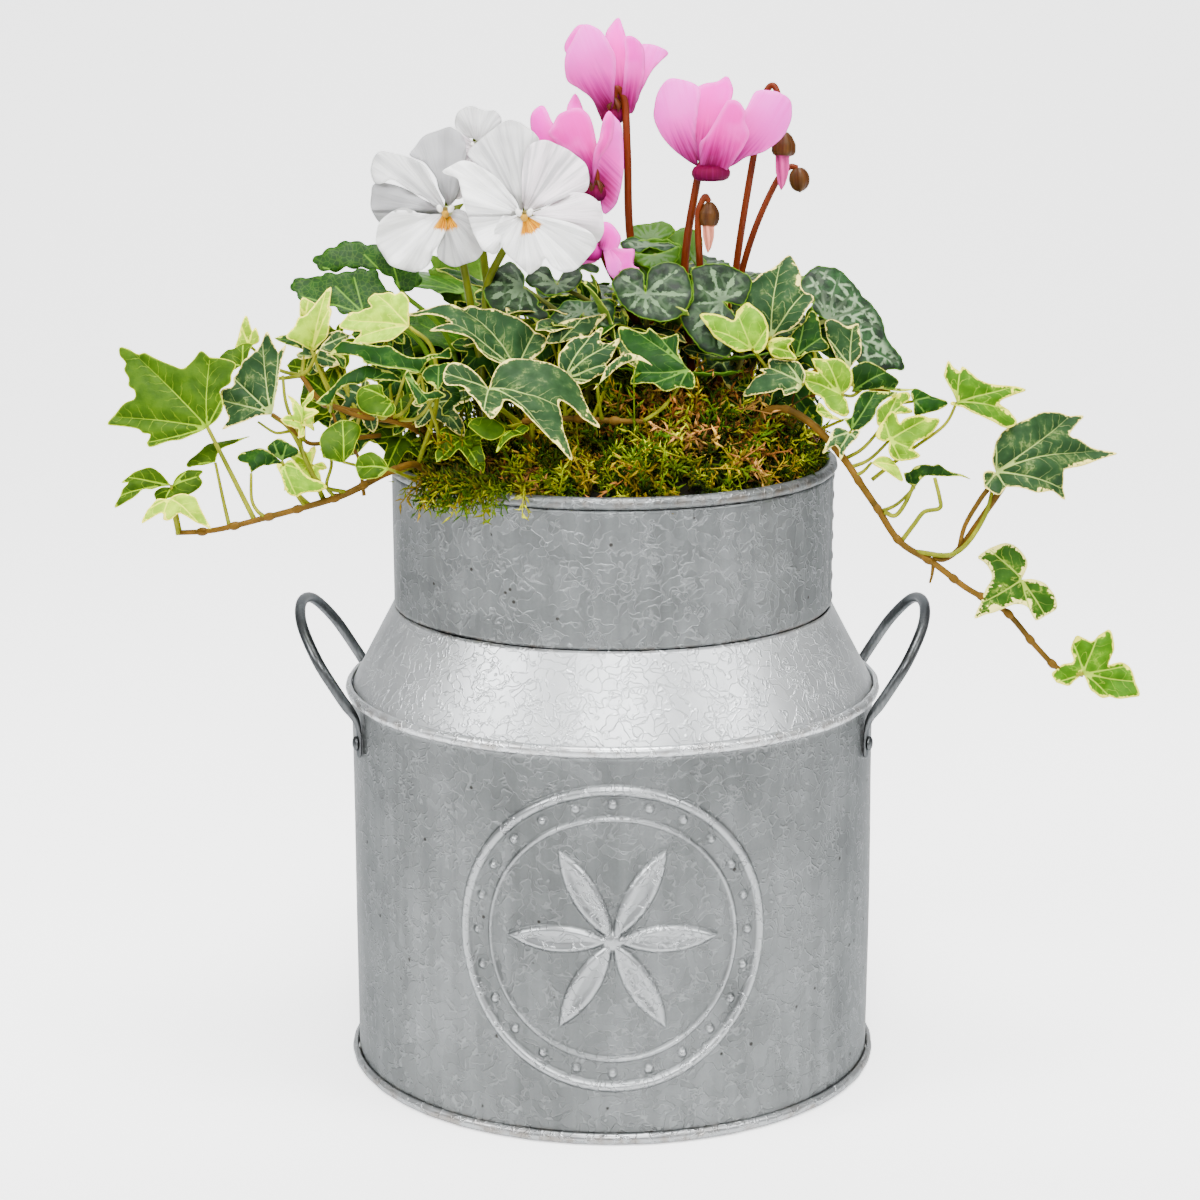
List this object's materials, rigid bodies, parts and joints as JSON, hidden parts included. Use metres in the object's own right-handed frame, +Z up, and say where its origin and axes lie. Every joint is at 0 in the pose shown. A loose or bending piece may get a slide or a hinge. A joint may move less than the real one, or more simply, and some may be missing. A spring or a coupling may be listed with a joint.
{
  "type": "potted cyclamen",
  "caption": "Mixed planting of pink cyclamen, white pansies and trailing ivy with moss, rooted in a galvanised churn-shaped planter with two wire loop handles.",
  "frame": {"origin": "centre of the planter's flat underside", "axes": "+Z up along the planter's axis, +X to the right seen from the front, -Y towards the viewer, where the pressed ring is"},
  "size_m": [0.409, 0.2446, 0.4381],
  "materials": {
    "galvanised_sheet": "zinc-coated sheet with spangle, light stains along the seams",
    "steel_wire": "dull grey bent wire",
    "potting_soil": "dark crumbly compost",
    "moss": "dried moss in green and straw strands",
    "tuber_bark": "rough brown corky skin",
    "red_stalk": "red-brown fleshy stalk, downy",
    "cyclamen_petal": "soft pink petal, magenta at the throat",
    "cyclamen_leaf": "dark green with silver marbling, pale reddish underside",
    "pansy_petal": "white velvet petal with a yellow eye and fine violet lines",
    "green_stem": "yellow-green stem",
    "pansy_leaf": "mid green, scalloped",
    "ivy_leaf": "green to grey-green with pale veins, some with cream margins"
  },
  "bodies": {
    "root": {"churn_base": "galvanised_sheet", "churn_body": "galvanised_sheet", "churn_shoulder": "galvanised_sheet", "churn_neck": "galvanised_sheet", "foot_bead": "galvanised_sheet", "shoulder_bead": "galvanised_sheet", "rim_bead": "galvanised_sheet", "handle_left": "steel_wire", "handle_right": "steel_wire", "rivet_left_front": "steel_wire", "rivet_left_back": "steel_wire", "rivet_right_front": "steel_wire", "rivet_right_back": "steel_wire", "potting_soil": "potting_soil", "moss_mat": "moss", "cyclamen_tuber": "tuber_bark", "cyclamen_stalk_1": "red_stalk", "cyclamen_flower_1": "cyclamen_petal", "cyclamen_stalk_2": "red_stalk", "cyclamen_flower_2": "cyclamen_petal", "cyclamen_stalk_3": "red_stalk", "cyclamen_flower_3": "cyclamen_petal", "cyclamen_stalk_4": "red_stalk", "cyclamen_flower_4": "cyclamen_petal", "cyclamen_bud_1": "red_stalk", "cyclamen_bud_2": "red_stalk", "cyclamen_bud_3": "red_stalk", "cyclamen_leaf_1": "cyclamen_leaf", "cyclamen_leaf_2": "cyclamen_leaf", "cyclamen_leaf_3": "cyclamen_leaf", "cyclamen_leaf_4": "cyclamen_leaf", "cyclamen_leaf_5": "cyclamen_leaf", "cyclamen_leaf_6": "cyclamen_leaf", "cyclamen_leaf_7": "cyclamen_leaf", "cyclamen_leaf_8": "cyclamen_leaf", "cyclamen_leaf_9": "cyclamen_leaf", "cyclamen_leaf_10": "cyclamen_leaf", "pansy_flower_1": "pansy_petal", "pansy_stem_1": "green_stem", "pansy_leaf_1": "pansy_leaf", "pansy_flower_2": "pansy_petal", "pansy_stem_2": "green_stem", "pansy_leaf_2": "pansy_leaf", "pansy_flower_3": "pansy_petal", "pansy_stem_3": "green_stem", "pansy_leaf_3": "pansy_leaf", "ivy_shoot_left_trail": "ivy_leaf", "ivy_shoot_left_upper": "ivy_leaf", "ivy_shoot_front": "ivy_leaf", "ivy_shoot_right_trail": "ivy_leaf", "ivy_shoot_right_upper": "ivy_leaf", "ivy_shoot_back": "ivy_leaf", "ivy_leaf_left_end": "ivy_leaf", "ivy_leaf_left_high": "ivy_leaf", "ivy_leaf_left_lime": "ivy_leaf", "ivy_leaf_front_large": "ivy_leaf", "ivy_leaf_front_upper": "ivy_leaf", "ivy_leaf_right_top": "ivy_leaf", "ivy_leaf_right_large": "ivy_leaf", "ivy_leaf_right_end": "ivy_leaf"}
  },
  "joints": []
}
